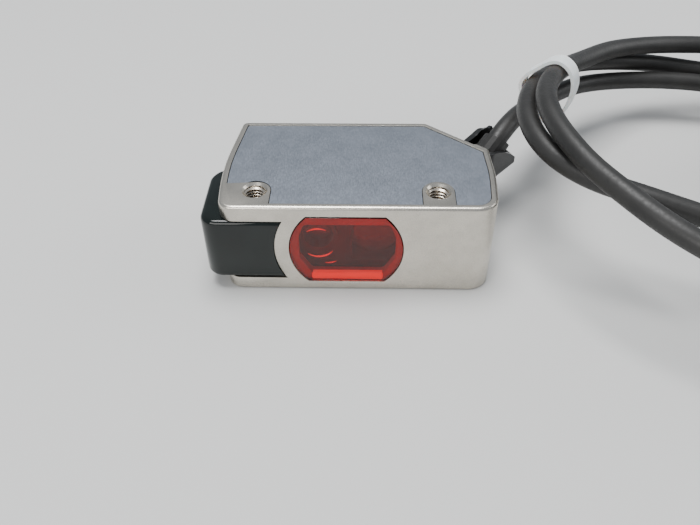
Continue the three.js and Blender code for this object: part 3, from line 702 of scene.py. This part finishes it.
def make_lens_face():
    """The clear front plate of the lens cover."""
    face = with_room(eased(window_ring(0, WINDOW_Z), -0.1, 0.75, 0.22), 0.9875, 0.983)
    smooth(face)
    return face


def inner_opening():
    return facing([
        (-4.9, 2.8, 0.8),
        (-6.6, 5.6, 1.5),
        (-6.6, 9.4, 2.0),
        (-5.9, 11.55, 0.8),
        (6.1, 11.55, 0.8),
        (6.9, 9.4, 2.0),
        (6.9, 5.6, 1.5),
        (5.2, 2.8, 0.8),
    ])


def make_lens_rim():
    """The solid red rim behind it, open in the middle."""
    rim = with_room(prism(window_ring(0, WINDOW_Z), 0.9, 2.5), 0.985, 0.98)
    return finish_edges(cut(rim, prism(inner_opening(), 0, 4)), "lens_rim", 0.15)


def make_lens_ledge():
    """The bright ledge along the bottom of the rim, where the lens gathers light; its brightness is
    painted light, a glow.
    """
    ledge = eased(facing(box_corners(-5.0, 5.2, 1.75, 2.9, 0.2)), 0.8, 1.6, 0.12)
    smooth(ledge)
    return ledge


lens_face = new_piece("lens_face", make_lens_face(), RUBY)
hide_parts("lens_cover")
new_piece("lens_rim", make_lens_rim(), RUBY_SOLID)
new_piece("lens_ledge", make_lens_ledge(), RUBY_PAINTED_GLOW)
dress("lens_cover_seal", RUBBER, 0.1)

# ---------------------------------------------------------------- indicator dome
DOME_LEFT = -20.35
DOME_FRONT = -0.15
DOME_BEVEL = 0.75
FIT = 0.1


def make_dome():
    """The smoked dome: a rounded block with the housing's corner and the window's ring cut out."""
    right = -5
    back = DOME_BACK - FIT
    outline = [
        (right, DOME_FRONT, 0.2),
        (DOME_LEFT, DOME_FRONT, 2.4),
        (DOME_LEFT, back, 3.2),
        (right, back, 0.2),
    ]
    return cut(
        eased(upright(outline), DOME_LOW + FIT, DOME_HIGH - FIT, DOME_BEVEL),
        prism(upright(box_corners(-16.0, 0, WALL - FIT, DOME_BACK + 1, 0.3)), 0, HEIGHT),
        prism(facing_circle(0, WINDOW_Z, DOME_CLEARANCE + FIT), -3, 5),
    )


dome_mesh = finish_edges(make_dome(), "dome_fine", 0.3, angle=50, segments=4)
dome = new_piece("indicator_dome_fine", dome_mesh, SMOKED)
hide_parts("indicator_dome")
dress("indicator_light_guide", MILKY, 0.1)
dress("indicator_board", BOARD)
dress("indicator_led_upper", LAMP, 0.1)
dress("indicator_led_lower", LAMP, 0.1)

# ---------------------------------------------------------------- optics
dress("optical_frame", SATIN_BLACK, 0.15)
dress("emitter_barrel", SATIN_BLACK, 0.12)
dress("emitter_lens", CLEAR)
dress("receiver_lens", CLEAR)
dress("laser_diode", BRASS, 0.05)
dress("receiver_chip", BLACK, 0.08)
dress("light_baffle", SATIN_BLACK, 0.08)
dress("emitter_board", BOARD)
dress("receiver_board", BOARD)
dress("main_board", BOARD)
dress("signal_processor", BLACK, 0.08)
dress("shield_can", PLATE_STEEL, 0.1)

GLINT_STEPS = 24
GLINT_Y = 1.9
BARREL_X = -3.95
BARREL_RING = 2.45


def glint_line(name, x, z, radius, first, last, thickness):
    """A thin glowing line along an arc in the back of the lens, which tapers towards both ends: a
    painted highlight where a moulded ring of the lens reflects light.
    """
    backwards = Vector((0, 1, 0))
    angles = [math.radians(first + (last - first) * i / GLINT_STEPS) for i in range(GLINT_STEPS + 1)]
    line = [Vector((x + radius * math.cos(a), GLINT_Y, z + radius * math.sin(a))) for a in angles]

    def build(shape):
        rings = []
        for i, centre in enumerate(line):
            along = (line[min(i + 1, GLINT_STEPS)] - line[max(i - 1, 0)]).normalized()
            aside = along.cross(backwards).normalized()
            half = thickness * math.sin(math.pi * (0.06 + 0.88 * i / GLINT_STEPS)) / 2
            rings.append([centre + side * half for side in (aside, backwards, -aside, -backwards)])
        loft(shape, rings)

    mesh = mesh_of(name, build)
    smooth(mesh, 60)
    new_piece(name, mesh, RUBY_PAINTED_GLOW)


# Painted highlights on the ring round the emitter barrel, behind the lens.
glint_line("lens_glint_upper", BARREL_X, WINDOW_Z, BARREL_RING, 62, 128, 0.28)
glint_line("lens_glint_lower", BARREL_X, WINDOW_Z, BARREL_RING, 232, 325, 0.3)
glint_line("lens_glint_side", BARREL_X + 1.2, WINDOW_Z - 1.0, 2.6, 262, 300, 0.2)

# ---------------------------------------------------------------- display side
dress("display_panel", BLACK, 0.12)
dress("display_window", CLEAR, 0.08)
dress("display_module", SATIN_BLACK, 0.08)
dress("display_board", BOARD)
for switch in ("set_switch", "up_switch", "down_switch"):
    dress(switch, SATIN_BLACK, 0.08)
for button in ("set_button", "up_button", "down_button"):
    dress(button, KEY_GREY, 0.18, 4)

# ---------------------------------------------------------------- cable outlet
dress("cable_boot", BOOT_BLACK, 0.28, 4, 30)
dress("strain_relief", RUBBER, 0.25, 3, 50)


# ---------------------------------------------------------------- cable
def make_cable():
    """One open spline along the whole route, as thick as the cable."""
    data = bpy.data.curves.new("cable", "CURVE")
    data.dimensions = "3D"
    data.bevel_depth = CABLE / 2 * MM
    data.bevel_resolution = 6
    data.use_fill_caps = True
    line = cable_line()
    spline = data.splines.new("POLY")
    spline.points.add(len(line) - 1)
    for point, place in zip(spline.points, line):
        point.co = (*at(*place), 1)
    spline.use_smooth = True
    return data


cable = new_piece("cable", make_cable(), JACKET)
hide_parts("cable_lead", "cable_coil", "cable_end")
core_nodes = [dress(name, material) for name, material in CORES.items()]
ties = [dress(name, TIE_WHITE, 0.18, 3) for name in ("loop_tie", "coil_tie")]


# ---------------------------------------------------------------- stage
def make_stage():
    bpy.ops.mesh.primitive_plane_add(size=30)
    floor = bpy.context.object
    floor.name = "floor"
    floor.data.materials.append(node_material("floor", (0.62, 0.62, 0.61), 0.75)[0])


def area_light(name, place, size, power, color=(1, 1, 1)):
    """A soft rectangular light that shines at the middle of the sensor's floor."""
    data = bpy.data.lights.new(name, "AREA")
    data.shape = "RECTANGLE"
    data.size, data.size_y = size
    data.energy = power
    data.color = color
    light = bpy.data.objects.new(name, data)
    bpy.context.collection.objects.link(light)
    light.location = place
    light.rotation_euler = (-Vector(place)).to_track_quat("-Z", "Y").to_euler()


def make_lights():
    area_light("overhead", (-0.05, 0.05, 0.55), (0.35, 0.25), 4.0)
    area_light("front", (-0.25, -0.45, 0.30), (0.4, 0.3), 1.6, (1, 0.98, 0.95))
    area_light("side", (0.5, 0.1, 0.25), (0.3, 0.3), 0.8)
    world = bpy.data.worlds.new("world")
    bpy.context.scene.world = world
    world.use_nodes = True
    background = world.node_tree.nodes["Background"]
    background.inputs["Color"].default_value = (0.86, 0.92, 1.0, 1)
    background.inputs["Strength"].default_value = 0.45


make_stage()
make_lights()
